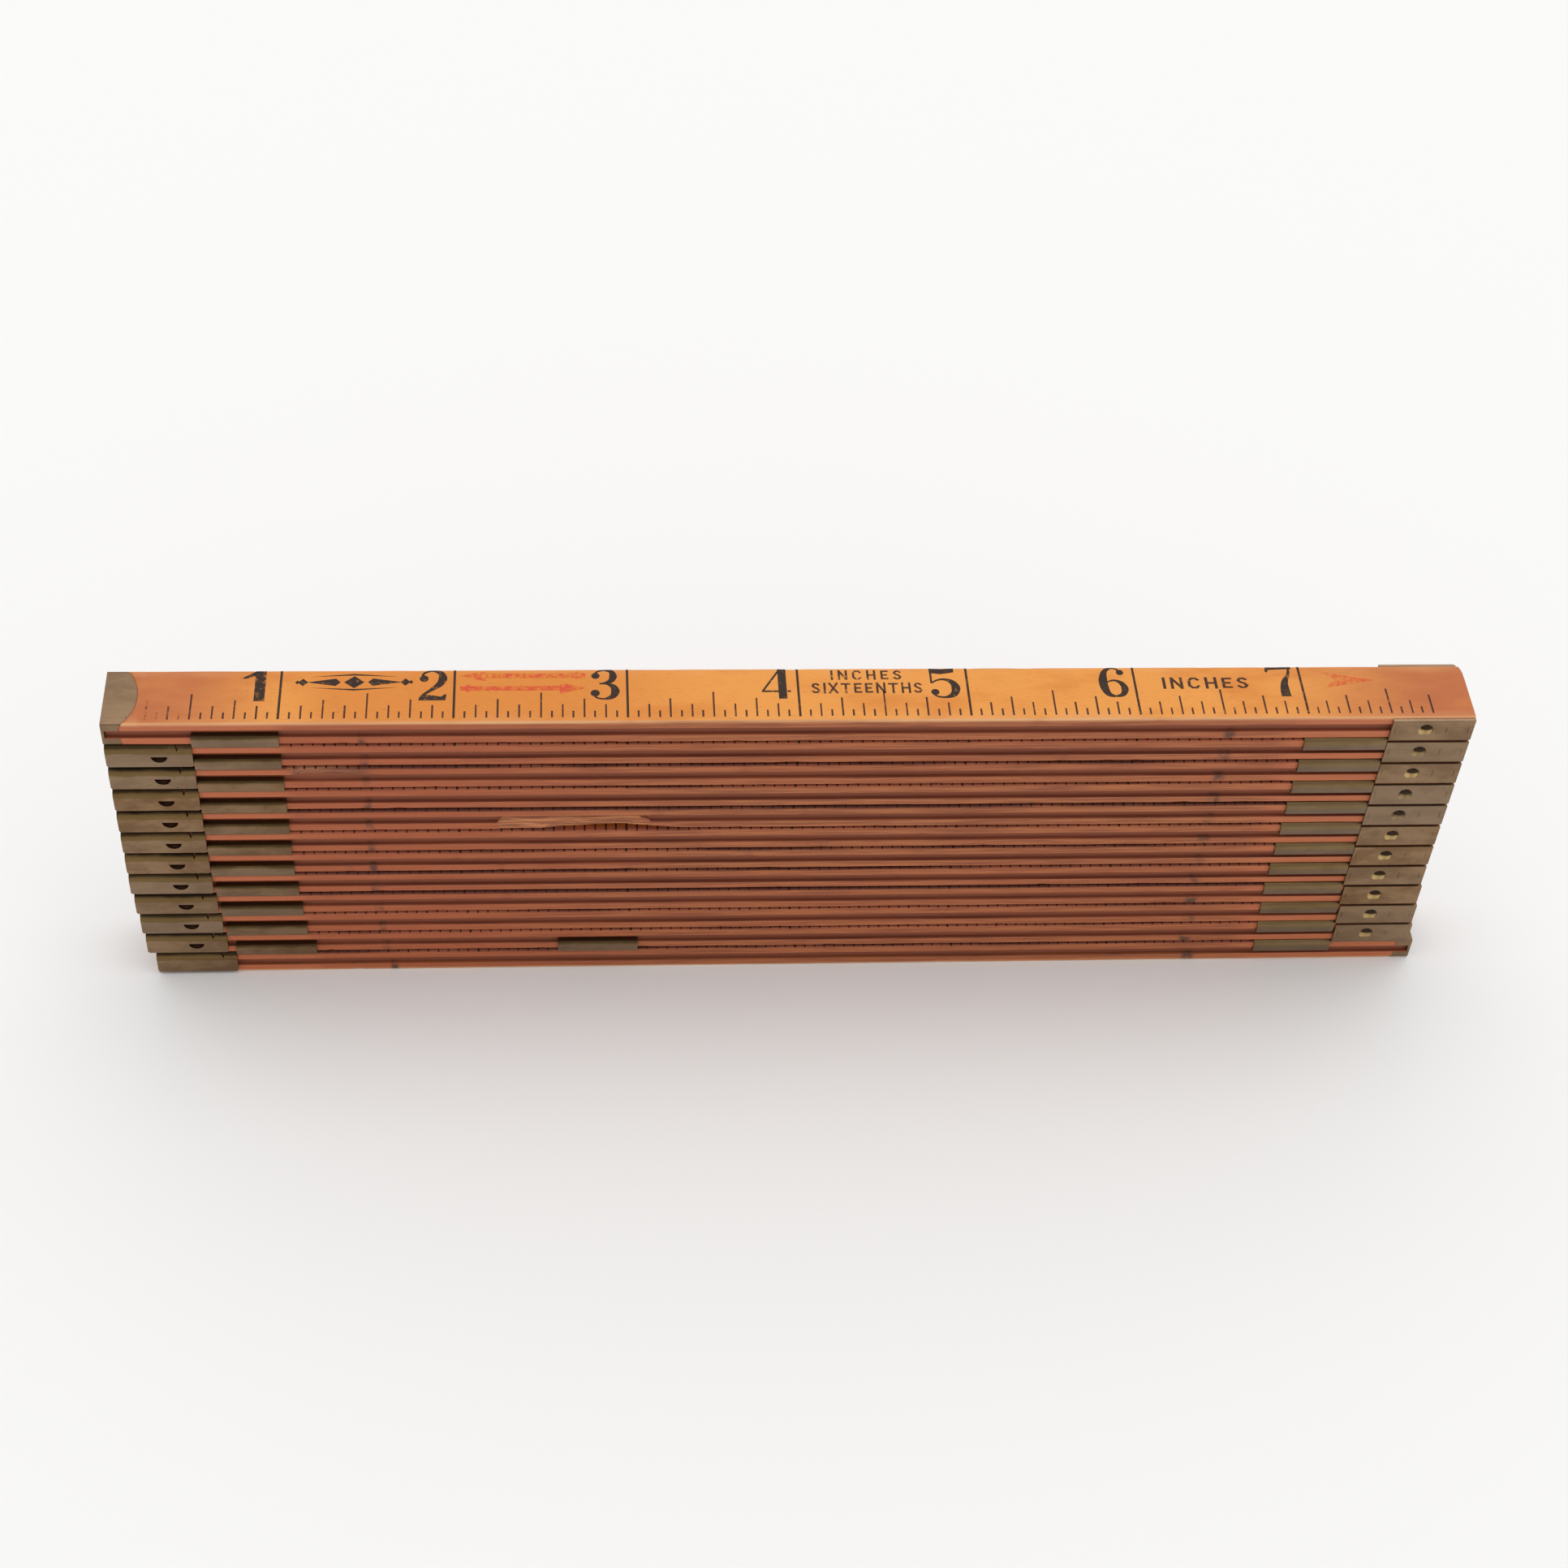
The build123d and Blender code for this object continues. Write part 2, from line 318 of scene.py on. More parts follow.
def wood_material():
    material, nodes = new_material("varnished_wood")
    colour, grain, streak, fleck = wood_colour(nodes)
    roughness = nodes.rise(streak, 0.3, 0.7, 0.36, 0.5)
    height = nodes.math("ADD", grain, nodes.times(fleck, -0.6))
    finish_material(nodes, colour, roughness, nodes.bumped(height, 0.00004, 0.5))
    return material


INK = srgb(27, 21, 20)
INK_THIN = srgb(74, 36, 32)
RED_INK = srgb(208, 74, 46)


def ink_material():
    """Printing ink over the same wood: it thins in spots and where the fade attribute says."""
    material, nodes = new_material("printing_ink")
    wood = wood_colour(nodes)[0]
    place = nodes.place()
    patches = nodes.noise(place, (1.1, 1.1, 1.1), 3.0, 0.6)
    grit = nodes.noise(place, (3.5, 5.0, 5.0), 2.0, 0.6)
    black = nodes.mix(nodes.attribute("thin"), INK, INK_THIN)
    ink = nodes.mix(nodes.attribute("red"), black, RED_INK)
    worn = nodes.math("ADD", nodes.times(patches, 0.65), nodes.times(grit, 0.35))
    limit = nodes.minus(0.74, nodes.attribute("fade"))
    gone = nodes.rise(nodes.minus(worn, limit), -0.1, 0.1)
    cover = nodes.minus(0.97, nodes.times(gone, 0.97))
    colour = nodes.mix(cover, wood, ink)
    finish_material(nodes, colour, 0.6, nodes.bumped(grit, 0.00002, 0.4), specular=0.25)
    return material


BRASS = srgb(148, 118, 86)
BRASS_BROWN = srgb(124, 94, 64)
BRASS_GREY = srgb(140, 120, 99)
BEND_TARNISH_AND_REFLECTION = srgb(114, 90, 52)
BRASS_DARK = srgb(44, 33, 24)
BRASS_BRIGHT = srgb(222, 196, 132)
PALE_RUB_AND_HIGHLIGHT = srgb(206, 178, 148)
DIMPLE_HIGHLIGHT_GOLD = srgb(198, 168, 112)
GREY_FLAT_REFLECTION = srgb(118, 100, 84)
OLIVE_BEND_REFLECTION = srgb(128, 106, 68)

SCORES = (0.6, 8.5, 11.8)
DIMPLE_X = LENGTH - 7.4
TONGUE_X = 7.8
TONGUE_Z = TOP - 1.65
TONGUE_RADIUS = 1.2


def brass_colour(nodes):
    """Tarnished brass: brown and grey clouds, dark spots, and marks placed along the slat."""
    place = nodes.place()
    x, y, z = nodes.parts(nodes.attribute("local", "Vector"))
    cloud = nodes.noise(place, (0.16, 0.3, 0.3), 4.0, 0.6)
    spots = nodes.noise(place, (1.9, 2.2, 2.2), 3.0, 0.6)
    drag = nodes.noise(place, (0.12, 4.0, 4.0), 3.0, 0.6)
    colour = nodes.mix(nodes.rise(cloud, 0.36, 0.64), BRASS, BRASS_BROWN)
    greyed = nodes.times(nodes.attribute("tone"), 0.7)
    colour = nodes.mix(greyed, colour, BRASS_GREY)
    colour = nodes.mix(nodes.rise(drag, 0.45, 0.75, 0.0, 0.25), colour, BRASS_BROWN)
    colour = nodes.mix(nodes.rise(spots, 0.64, 0.78, 0.0, 0.6), colour, BRASS_DARK)
    across = nodes.math("ABSOLUTE", y)
    on_side = nodes.rise(across, 5.4, 5.7)
    # Hair-thin setting-out marks on the right caps
    tall = nodes.near(z, 2.1, 0.6, 0.15)
    for step in SCORES:
        line = nodes.near(x, LENGTH - CAP_LENGTH + step, 0.04, 0.05)
        mark = nodes.times(line, tall, on_side, nodes.rise(cloud, 0.35, 0.6, 0.15, 0.7))
        colour = nodes.mix(mark, colour, BRASS_DARK)
    # The guides are painted darker than the caps
    left_cap = nodes.rise(x, CAP_LENGTH - 0.05, CAP_LENGTH + 0.05, 1.0, 0.0)
    right_cap = nodes.rise(x, LENGTH - CAP_LENGTH - 0.05, LENGTH - CAP_LENGTH + 0.05)
    caps = nodes.math("ADD", left_cap, right_cap)
    colour = nodes.over(colour, BRASS_DARK, nodes.minus(1.0, caps), 0.16)
    # The bends, on the left caps and on their guides' rims: browner tarnish with a painted dark reflection,
    # and painted shade in the gap under the cap above and at the rims' tops
    uneven = nodes.math("ADD", z, nodes.times(nodes.minus(cloud, 0.5), 0.9))
    shadowed = nodes.attribute("shadowed")
    lower_cap = nodes.times(left_cap, nodes.rise(shadowed, 0.1, 0.3))
    cap_bend = nodes.times(lower_cap, nodes.rise(uneven, 3.2, 3.5))
    rim_bend = nodes.rise(uneven, 6.1, 6.4)
    rim_shade = nodes.rise(uneven, 6.3, 6.7, 0.0, 0.6)
    colour = nodes.over(colour, BEND_TARNISH_AND_REFLECTION, nodes.math("MAXIMUM", cap_bend, rim_bend), 0.85)
    # Painted shadow under the cap above, and at the top of the guides' rims
    overhung = nodes.times(lower_cap, nodes.rise(uneven, 4.1, 4.5))
    colour = nodes.over(colour, BRASS_DARK, overhung, shadowed)
    colour = nodes.mix(rim_shade, colour, BRASS_DARK)
    # The right fittings' guides: painted reflections over the tarnish, olive on the bend, grey below it
    under = nodes.minus(nodes.rise(z, -0.02, 0.02, 1.0, 0.0), right_cap)
    upper_bend = nodes.rise(z, -1.3, -1.0)
    guide_reflections = nodes.mix(upper_bend, GREY_FLAT_REFLECTION, OLIVE_BEND_REFLECTION)
    colour = nodes.over(colour, guide_reflections, under, 0.6)
    # The top slat's right cap is rubbed pale along its upper edge, with a painted highlight there too
    open_top = nodes.times(right_cap, nodes.rise(shadowed, 0.1, 0.3, 0.7, 0.0))
    rim_rub_and_highlight = nodes.times(open_top, nodes.rise(z, TOP - 0.3, TOP - 0.1))
    colour = nodes.mix(rim_rub_and_highlight, colour, PALE_RUB_AND_HIGHLIGHT)
    # The tongues, bent in behind their holes: painted shade and dirt in the recess, darkest at the top
    beside = nodes.near(x, TONGUE_X, TONGUE_RADIUS - 0.05, 0.1)
    below = nodes.rise(z, TONGUE_Z, TONGUE_Z + 0.02, 1.0, 0.0)
    sunk = nodes.times(nodes.rise(across, 5.86, 5.92, 1.0, 0.0), left_cap)
    tongue = nodes.times(beside, below, sunk)
    depth = nodes.rise(z, TONGUE_Z - 0.9, TONGUE_Z - 0.2, 0.6, 1.0)
    colour = nodes.over(colour, BRASS_DARK, tongue, depth)
    # The pressed dimples: a painted shadow under their upper edge, a painted highlight below, flat at the
    # bottom
    pressed = nodes.rise(across, 4.0, 4.6)
    arch = nodes.round_spot(x, z, DIMPLE_X, TOP / 2, 1.1)
    arch = nodes.times(arch, nodes.rise(z, TOP / 2 - 0.8, TOP / 2 - 0.4), pressed, 0.9)
    colour = nodes.mix(arch, colour, BRASS_DARK)
    shaded = nodes.round_spot(x, z, DIMPLE_X + 0.1, TOP / 2 + 0.4, 0.95)
    dimple_highlight = nodes.round_spot(x, z, DIMPLE_X - 0.05, TOP / 2 - 0.15, 1.05)
    dimple_highlight = nodes.times(dimple_highlight, nodes.rise(z, TOP / 2 - 1.1, TOP / 2 - 0.9), nodes.minus(1.0, shaded))
    brightening = nodes.times(pressed, nodes.rise(nodes.attribute("tone"), 0.5, 1.0, 0.95, 0.25))
    colour = nodes.over(colour, DIMPLE_HIGHLIGHT_GOLD, dimple_highlight, brightening)
    return colour, cloud, spots, drag


def brass_material(name, brightening):
    """Polish from 0, tarnished, to 1, rubbed bright, as on the bent and cut edges."""
    material, nodes = new_material(name)
    colour, cloud, spots, drag = brass_colour(nodes)
    if brightening:
        colour = nodes.mix(brightening, colour, BRASS_BRIGHT)
    roughness = nodes.rise(cloud, 0.3, 0.7, 0.4, 0.54)
    height = nodes.math("ADD", drag, nodes.times(spots, -0.8))
    normal = nodes.bumped(height, 0.00004, 0.55)
    finish_material(nodes, colour, roughness, normal, metallic=0.88)
    return material


# ---- Wooden slats ----


def make_nicks():
    """Small dents in the slats' long corners: (slat, side, corner, x, half length, depth)."""
    picker = random.Random(1932)
    nicks = []
    for number in range(1, COUNT + 1):
        for side in (-1, 1):
            for corner in ("top", "bottom", "upper lip", "lower lip"):
                for _ in range(5 if corner in ("top", "bottom") else 3):
                    place = picker.uniform(27, 176)
                    size = picker.uniform(0.4, 1.6)
                    nicks.append((number, side, corner, place, size, picker.uniform(0.04, 0.2)))
    return nicks


NICKS = make_nicks()


def nick_depth(number, side, corner, x):
    """How deep the dents in a slat's corner are at x, all together."""
    depth = 0.0
    for nick in NICKS:
        if nick[:3] == (number, side, corner):
            away = (x - nick[3]) / nick[4]
            if abs(away) < 2.5:
                depth += nick[5] * math.exp(-away * away)
    return depth


def corner_radius(number, side, corner, x):
    """Radius of a slat's long corner; where a left cap is folded over it, it is wide."""
    if corner == "top" and number > 1 and x < CAP_LENGTH:
        return CAP_RADIUS
    top = corner == "top"
    lane = 1 + side + 4 * top
    change = 0.7 * wobble(x, number, lane, 23) + 0.5 * wobble(x, number, lane, 5)
    wear = GAP_WEAR_AND_SHADE.get(number if top else number + 1, 0.3)
    handled = 0.16 * float(smooth(85.0, 40.0, x)) if top and number > 1 else 0.0
    base = CORNER + CORNER_CHANGE * change + 0.2 * wear + handled - (0.0 if top else 0.12)
    if number == 1 and x < 6 or number == COUNT and x > LENGTH - 6:
        base = CORNER
    tightest = TIGHTEST_TOP if top else TIGHTEST_UNDER
    return min(max(base + nick_depth(number, side, corner, x), tightest), WIDEST_CORNER)


def arc(centre_y, centre_z, radius, start, end, steps):
    """Points of an arc; angles are in degrees, from +y towards +z."""
    points = []
    for step in range(steps + 1):
        angle = math.radians(start + (end - start) * step / steps)
        points.append((centre_y + radius * math.cos(angle), centre_z + radius * math.sin(angle)))
    return points


def half_section(number, side, x):
    """One side of a slat's section, from the underside round to the top, with y outwards."""
    low_round = corner_radius(number, side, "bottom", x)
    top_round = corner_radius(number, side, "top", x)
    lift, lip_top, groove_top = 0.0, LIP, TOP - LIP
    low_nick = nick_depth(number, side, "lower lip", x)
    top_nick = nick_depth(number, side, "upper lip", x)
    low_face = HALF - 0.02 - 0.025 * wobble(x, number, 11 + side, 6) - 0.3 * low_nick
    top_face = HALF - 0.02 - 0.025 * wobble(x, number, 14 + side, 6) - 0.3 * top_nick
    front = side < 0
    if front and number == SPLIT_SLAT:
        lift, filled = split_shape(x)
        lip_top += (groove_top - 0.12 - lip_top) * filled
        low_face -= 0.12 * filled * (1 + wobble(x, number, 31, 2.5))
    if front and number == CHIPPED_SLAT:
        top_face -= chip_depth(x)
    edge = min(LIP_EDGE + 0.5 * low_nick, (lip_top - lift) / 4)
    top_edge = LIP_EDGE + 0.5 * top_nick
    corner = min(GROOVE_CORNER, (groove_top - lip_top) / 2 - 0.01)
    floor = min(HALF - GROOVE_DEPTH, top_face - 0.1)
    points = [(2.4, 0.0), (4.3, 0.0)]
    points += arc(low_face - low_round, lift + low_round, low_round, -90, 0, 6)
    low_start, low_end = lift + low_round, lip_top - edge
    points += [(low_face, low_start + (low_end - low_start) * part) for part in (0.3, 0.65)]
    points += arc(low_face - edge, lip_top - edge, edge, 0, 90, 3)
    points += arc(floor + corner, lip_top + corner, corner, 270, 180, 3)
    points += arc(floor + corner, groove_top - corner, corner, 180, 90, 3)
    points += arc(top_face - top_edge, groove_top + top_edge, top_edge, -90, 0, 3)
    top_start, top_end = groove_top + top_edge, TOP - top_round
    points += [(top_face, top_start + (top_end - top_start) * part) for part in (0.35, 0.7)]
    points += arc(top_face - top_round, TOP - top_round, top_round, 0, 90, 7)
    return points + [(3.6, TOP), (1.8, TOP)]


def split_shape(x):
    """Rise of the cracked lip's underside, and how far the lip's raw sliver fills the groove."""
    start, end = SPLIT_GAP
    lift = float(smooth(start if x <= SPLIT_PEAK else end, SPLIT_PEAK, x))
    ragged = 0.8 * wobble(x, SPLIT_SLAT, 30, 0.9)
    filled = float(smooth(SPLIT[0] - 0.3, SPLIT[0] + 0.5, x))
    filled *= float(smooth(SPLIT[1] + 1.2, SPLIT[1] - 1.0, x + ragged))
    return lift, filled


def chip_depth(x):
    """How deep the broken-out upper lip is: abrupt at its left end, running out to the right."""
    start, end = CHIP
    if not start < x < end:
        return 0.0
    run_out = (end - x) / (end - start)
    depth = 0.6 * run_out * float(smooth(start, start + 3.5, x))
    return max(0.0, depth + 0.06 * wobble(x, CHIPPED_SLAT, 33, 2.3) * run_out)


def section(number, x):
    """The whole closed ring of a slat's section at x, as (y, z) points."""
    front = [(-y, z) for y, z in half_section(number, -1, x)]
    back = half_section(number, 1, x)
    ring = [(0.0, 0.0), *back, (0.0, TOP), *reversed(front)]
    if x < END_EDGE or x > LENGTH - END_EDGE:
        scale_y, scale_z = 1 - END_EDGE / HALF, 1 - 2 * END_EDGE / TOP
        ring = [(y * scale_y, TOP / 2 + (z - TOP / 2) * scale_z) for y, z in ring]
    return ring


def stations(number):
    """Where along the slat its section is drawn: every millimetre, and closer where it changes."""
    places = {0.0, END_EDGE, 0.5, LENGTH - 0.5, LENGTH - END_EDGE, LENGTH}
    places.update(float(x) for x in range(1, int(LENGTH) + 1))
    places.update((CAP_LENGTH - 0.01, CAP_LENGTH + 0.01))
    own = [nick for nick in NICKS if nick[0] == number]
    fine = [nick[3] + part * nick[4] for nick in own for part in (-1.2, -0.6, 0, 0.6, 1.2)]
    if number == SPLIT_SLAT:
        fine += [SPLIT[0] - 1 + 0.3 * step for step in range(105)]
    if number == CHIPPED_SLAT:
        fine += [CHIP[0] - 0.5 + 0.3 * step for step in range(50)]
    places.update(fine)
    tidy = []
    for place in sorted(places):
        if not tidy or place - tidy[-1] > 0.015:
            tidy.append(place)
    return tidy


def to_rule(number, point):
    """A point of a slat's own frame, in metres in the rule's frame."""
    return (Vector(point) + ORIGINS[number]) * MM


def new_object(name, mesh):
    made = bpy.data.objects.new(name, mesh)
    bpy.context.scene.collection.objects.link(made)
    return made


def slat_mesh(number):
    rings = []
    for x in stations(number):
        rings.append([to_rule(number, (x, y, z)) for y, z in section(number, x)])
    size = len(rings[0])
    faces = [tuple(reversed(range(size)))]
    for start in range(0, size * (len(rings) - 1), size):
        for i in range(size):
            j = (i + 1) % size
            faces.append((start + i, start + j, start + size + j, start + size + i))
    faces.append(tuple(range(size * (len(rings) - 1), size * len(rings))))
    mesh = bpy.data.meshes.new(f"wood_{number:02d}")
    mesh.from_pydata([point for ring in rings for point in ring], [], faces)
    mesh.validate()
    return mesh


def welded(mesh):
    """A bmesh of the same shape with its doubled points joined."""
    shape = bmesh.new()
    shape.from_mesh(mesh)
    bmesh.ops.remove_doubles(shape, verts=shape.verts, dist=1e-7)
    return shape


def cut_away(piece, mesh):
    """Takes the shape of a closed mesh out of a piece."""
    cutter = new_object("cutter", mesh)
    modifier = piece.modifiers.new("cut", "BOOLEAN")
    modifier.operation = "DIFFERENCE"
    modifier.solver = "EXACT"
    modifier.object = cutter
    ready = piece.evaluated_get(bpy.context.evaluated_depsgraph_get())
    cut = bpy.data.meshes.new_from_object(ready)
    piece.modifiers.clear()
    piece.data = cut
    bpy.data.objects.remove(cutter)


def cut_pocket(piece, tip):
    """Cuts the room for a brass tip out of a slat, a hair wider than the tip, as a seam."""
    shape = welded(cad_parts[tip].data)
    shape.normal_update()
    for vertex in shape.verts:
        vertex.co += vertex.normal * TIP_SEAM * MM
    mesh = bpy.data.meshes.new("cutter")
    shape.to_mesh(mesh)
    shape.free()
    cut_away(piece, mesh)


def round_far_corner(piece):
    """Wears round the top slat's far right corner, through the wood and its cap alike."""
    edge, clear = HALF + 0.5, 1.0
    outline = [(LENGTH + clear, edge - WORN_CORNER_Y), (LENGTH + clear, edge + clear)]
    outline.append((LENGTH - WORN_CORNER_X, edge + clear))
    for step in range(13):
        angle = math.radians(90 - 7.5 * step)
        x = LENGTH - WORN_CORNER_X * (1 - math.cos(angle))
        outline.append((x, edge - WORN_CORNER_Y * (1 - math.sin(angle))))
    count = len(outline)
    points = [to_rule(1, (x, y, z)) for z in (-clear, TOP + clear) for x, y in outline]
    faces = [tuple(reversed(range(count))), tuple(range(count, 2 * count))]
    faces += [(i, (i + 1) % count, count + (i + 1) % count, count + i) for i in range(count)]
    mesh = bpy.data.meshes.new("corner")
    mesh.from_pydata(points, [], faces)
    cut_away(piece, mesh)


def paint(mesh, name, values):
    """Gives the mesh an attribute, from one value for all its vertices or one for each."""
    layer = mesh.attributes.new(name, "FLOAT", "POINT")
    layer.data.foreach_set("value", np.full(len(mesh.vertices), values, np.float32))


def paint_places(mesh, number, seed):
    """Paints every vertex's place in the slat's own frame, and returns the places in millimetres."""
    flat = np.empty(len(mesh.vertices) * 3, np.float64)
    mesh.vertices.foreach_get("co", flat)
    places = flat.reshape(-1, 3) / MM - np.array(ORIGINS[number])
    layer = mesh.attributes.new("local", "FLOAT_VECTOR", "POINT")
    layer.data.foreach_set("vector", places.astype(np.float32).ravel())
    paint(mesh, "seed", seed)
    return places


def paint_grime(mesh, number, upward, across):
    """Paints the dirt that works in from a hidden face's long edges, with the painted shade of the gap
    between slats.
    """
    hidden = np.where(upward, number > 1, number < COUNT)
    paint(mesh, "grime_and_shade", hidden * smooth(HALF - 1.3, HALF - 0.7, across))
    paint(mesh, "gap_wear_and_shade", np.where(upward, GAP_WEAR_AND_SHADE.get(number, 0.0), GAP_WEAR_AND_SHADE.get(number + 1, 0.0)))


def paint_wood(mesh, number, tone):
    """Paints where a slat's surface is a side, a groove, a worn corner with a painted highlight, dirty with
    painted shade, or raw wood.
    """
    places = paint_places(mesh, number, seed=float(number))
    x, y, z = places.T
    across = np.abs(y)
    upward = z > TOP / 2
    hidden = np.where(upward, number > 1, number < COUNT)
    side_start = HALF - np.where(hidden, 0.2, 0.42)
    side_end = HALF - np.where(hidden, 0.03, 0.12)
    side = smooth(side_start, side_end, across)
    inside = smooth(0.03, 0.3, HALF - across) * (z > LIP - 0.12) * (z < TOP - LIP + 0.05)
    groove = np.where((z > 0.9) & (z < TOP - 0.7), inside, 0.0)
    side = np.maximum(side, groove)
    corner = np.minimum(z, TOP - z)
    # Worn corners of the open faces, with a painted highlight along them
    rubbed_and_lit = smooth(0.5, 0.12, np.hypot(HALF - across, corner)) * ~hidden
    raw = np.zeros(len(x))
    front = y < 0
    if number == SPLIT_SLAT:
        torn = smooth(SPLIT[0] - 0.2, SPLIT[0] + 0.3, x) * smooth(SPLIT[1] + 1.0, SPLIT[1] - 1.0, x)
        sliver = front & (z < TOP - LIP) & (across > 4.4)
        raw = np.where(sliver, torn, raw)
        groove = np.where(sliver, groove * (1 - torn), groove)
    if number == CHIPPED_SLAT:
        torn = smooth(CHIP[0], CHIP[0] + 0.5, x) * smooth(CHIP[1], CHIP[1] - 6, x)
        broken = front & (z > TOP - LIP - 0.1) & (across > 4.0)
        raw = np.where(broken, 0.55 * torn, raw)
        groove = np.where(broken, groove * (1 - torn), groove)
    paint_grime(mesh, number, upward, across)
    paint(mesh, "tone", tone)
    paint(mesh, "side", side)
    paint(mesh, "groove", groove)
    paint(mesh, "worn", rubbed_and_lit)
    paint(mesh, "raw", raw)
    paint(mesh, "shadowed", float(number > 1))


def shade(mesh):
    mesh.shade_smooth()
    mesh.set_sharp_from_angle(angle=math.radians(SMOOTH_ANGLE))


def make_slat(number, wood, picker):
    piece = new_object(f"wood_{number:02d}", slat_mesh(number))
    if number == 1:
        cut_pocket(piece, "left_tip")
        round_far_corner(piece)
    if number == COUNT:
        cut_pocket(piece, "right_tip")
    paint_wood(piece.data, number, tone=picker.random())
    shade(piece.data)
    piece.data.materials.clear()
    piece.data.materials.append(wood)
    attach(piece, body(number))
    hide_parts(f"slat_{number:02d}")


# ---- Brass fittings ----

EDGE_BEVEL = 0.05
TIP_BEVEL = 0.12
EDGE_ANGLE = 32
TIP_TONE = 0.6
# How dark the left caps are under the cap above, on even and on odd slats
CAP_SHADOWS = (0.75, 0.95)


def brass_mesh(node, bevel):
    """The fitting's own shape with its cut edges taken off and kept brighter."""
    shape = welded(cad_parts[node].data)
    bmesh.ops.dissolve_limit(shape, angle_limit=math.radians(0.5), verts=shape.verts, edges=shape.edges)
    sharp = [e for e in shape.edges if e.is_manifold and e.calc_face_angle(0) > math.radians(EDGE_ANGLE)]
    sizes = {"offset": bevel * MM, "offset_type": "OFFSET", "segments": 2, "profile": 0.6}
    made = bmesh.ops.bevel(shape, geom=sharp, affect="EDGES", clamp_overlap=True, **sizes)
    for face in shape.faces:
        face.material_index = 0
    for face in made["faces"]:
        face.material_index = 1
    bmesh.ops.triangulate(shape, faces=[face for face in shape.faces if len(face.verts) > 4])
    mesh = bpy.data.meshes.new(node)
    shape.to_mesh(mesh)
    shape.free()
    if "custom_normal" in mesh.attributes:
        mesh.attributes.remove(mesh.attributes["custom_normal"])
    return mesh


def make_brass(node, number, picker, materials):
    """One brass piece; its tone, from 0 to 1, says how grey and how dull it is."""
    seed, tone = picker.uniform(0, 9), picker.random()
    tip = node in ("left_tip", "right_tip")
    piece = new_object(f"brass_{node}", brass_mesh(node, TIP_BEVEL if tip else EDGE_BEVEL))
    if node == "right_fitting_01":
        round_far_corner(piece)
    mesh = piece.data
    paint_places(mesh, number, seed)
    paint(mesh, "tone", TIP_TONE if tip else tone)
    paint(mesh, "shadowed", CAP_SHADOWS[number % 2] if number > 1 else 0.0)
    shade(mesh)
    mesh.materials.clear()
    for material in materials:
        mesh.materials.append(material)
    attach(piece, body(number))
    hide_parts(node)


# ---- Printed scale ----

INK_LIFT = 0.012
INK_SINK = 0.02
TICK_WIDTH = 0.27
INCH_LINE_WIDTH = 0.36
SIXTEENTH = INCH / 16
FIRST_TICK = 4
FIRST_CLEAR_TICK = 17
LAST_TICK = 124
TICK_TOPS = {8: 6.1, 4: 4.8, 2: 3.65, 1: 2.35}
DIGIT_HEIGHT = 6.2
DIGIT_FOOT = 4.6
DIGIT_GAP = 0.45
CURVE_STEPS = 7

